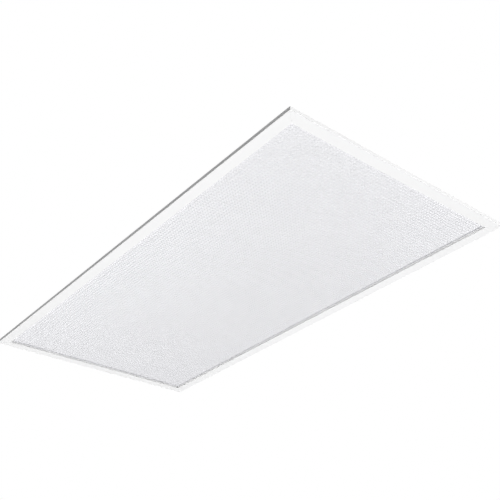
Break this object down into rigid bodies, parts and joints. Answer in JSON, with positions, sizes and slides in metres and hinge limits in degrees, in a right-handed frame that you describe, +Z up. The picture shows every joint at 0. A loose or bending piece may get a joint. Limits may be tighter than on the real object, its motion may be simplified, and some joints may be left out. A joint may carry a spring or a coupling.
{
  "type": "recessed troffer light",
  "caption": "Lay-in ceiling troffer with a square-prism lens in a slim hinged door, a shallow sloped housing, sliding latches, swing-out grid clips and a driver box behind.",
  "frame": {"origin": "centre of the flat underside, in the plane of the white trim that rests on the ceiling grid", "axes": "+Z up into the ceiling, +X along the long side, +Y towards the hinged side of the door"},
  "size_m": [1.2128, 0.6032, 0.114],
  "materials": {
    "white_steel": "satin white baked paint",
    "door_white": "white powder coat on aluminium",
    "lens_acrylic": "prismatic translucent acrylic",
    "vinyl": "soft white vinyl",
    "zinc_steel": "bright zinc plate",
    "galvanised": "galvanised sheet",
    "board_white": "white solder mask",
    "chip_yellow": "phosphor",
    "connector_white": "moulded nylon",
    "driver_case": "white painted steel",
    "nylon_black": "moulded nylon",
    "terminal_grey": "moulded plastic",
    "wire_red": "wire insulation",
    "wire_black": "wire insulation",
    "ground_green": "green dyed zinc"
  },
  "bodies": {
    "housing": {"board_connectors": "connector_white", "board_screws": "zinc_steel", "box_screws": "zinc_steel", "clip_posts": "zinc_steel", "driver_box": "galvanised", "driver_screws": "zinc_steel", "end_wall_left": "white_steel", "end_wall_right": "white_steel", "ground_screw": "ground_green", "hanger_brackets": "galvanised", "hanger_rivets": "zinc_steel", "hinge_bushes": "nylon_black", "knockout_discs": "galvanised", "latch_guides": "zinc_steel", "led_driver": "driver_case", "light_board_1": "board_white", "light_board_2": "board_white", "light_board_3": "board_white", "light_board_4": "board_white", "light_board_5": "board_white", "light_board_6": "board_white", "light_board_7": "board_white", "light_board_8": "board_white", "light_chips": "chip_yellow", "output_wires": "wire_red", "pan_rivets": "zinc_steel", "side_wall_front": "white_steel", "side_wall_rear": "white_steel", "supply_leads": "wire_black", "terminal_block": "terminal_grey", "top_pan": "white_steel", "trim_corner_plates": "galvanised", "trim_rail_front": "white_steel", "trim_rail_left": "white_steel", "trim_rail_rear": "white_steel", "trim_rail_right": "white_steel", "wall_rivets": "zinc_steel", "wire_grommet": "nylon_black"},
    "door": {"door_corner_keys": "zinc_steel", "door_rail_front": "door_white", "door_rail_left": "door_white", "door_rail_rear": "door_white", "door_rail_right": "door_white", "hinge_pins": "zinc_steel", "long_lens_retainers": "vinyl", "prismatic_lens": "lens_acrylic", "short_lens_retainers": "vinyl"},
    "box_lid": {"driver_box_lid": "galvanised", "lid_screw": "zinc_steel", "lid_hinge_pin": "zinc_steel"},
    "slide_latch_left": {"slide_latch_left": "zinc_steel"},
    "slide_latch_right": {"slide_latch_right": "zinc_steel"},
    "grid_clip_front_left": {"grid_clip_front_left": "zinc_steel"},
    "grid_clip_rear_left": {"grid_clip_rear_left": "zinc_steel"},
    "grid_clip_front_right": {"grid_clip_front_right": "zinc_steel"},
    "grid_clip_rear_right": {"grid_clip_rear_right": "zinc_steel"}
  },
  "joints": [
    {"name": "door_hinge", "type": "hinge", "parent": "housing", "child": "door", "pos_m": [0, 0.27372, 0.0054], "axis": [1, 0, 0], "range_deg": [0, 90]},
    {"name": "box_lid_hinge", "type": "hinge", "parent": "housing", "child": "box_lid", "pos_m": [0, 0.0574, 0.1118], "axis": [-1, 0, 0], "range_deg": [0, 110]},
    {"name": "latch_left_slide", "type": "slide", "parent": "housing", "child": "slide_latch_left", "axis": [0, 1, 0], "range_m": [0, 0.0043]},
    {"name": "latch_right_slide", "type": "slide", "parent": "housing", "child": "slide_latch_right", "axis": [0, 1, 0], "range_m": [0, 0.0043]},
    {"name": "clip_front_left_swing", "type": "hinge", "parent": "housing", "child": "grid_clip_front_left", "pos_m": [-0.59442, -0.19, 0.0093], "axis": [0, 0, 1], "range_deg": [0, 90]},
    {"name": "clip_rear_left_swing", "type": "hinge", "parent": "housing", "child": "grid_clip_rear_left", "pos_m": [-0.59442, 0.19, 0.0093], "axis": [0, 0, -1], "range_deg": [0, 90]},
    {"name": "clip_front_right_swing", "type": "hinge", "parent": "housing", "child": "grid_clip_front_right", "pos_m": [0.59442, -0.19, 0.0093], "axis": [0, 0, -1], "range_deg": [0, 90]},
    {"name": "clip_rear_right_swing", "type": "hinge", "parent": "housing", "child": "grid_clip_rear_right", "pos_m": [0.59442, 0.19, 0.0093], "axis": [0, 0, 1], "range_deg": [0, 90]}
  ]
}
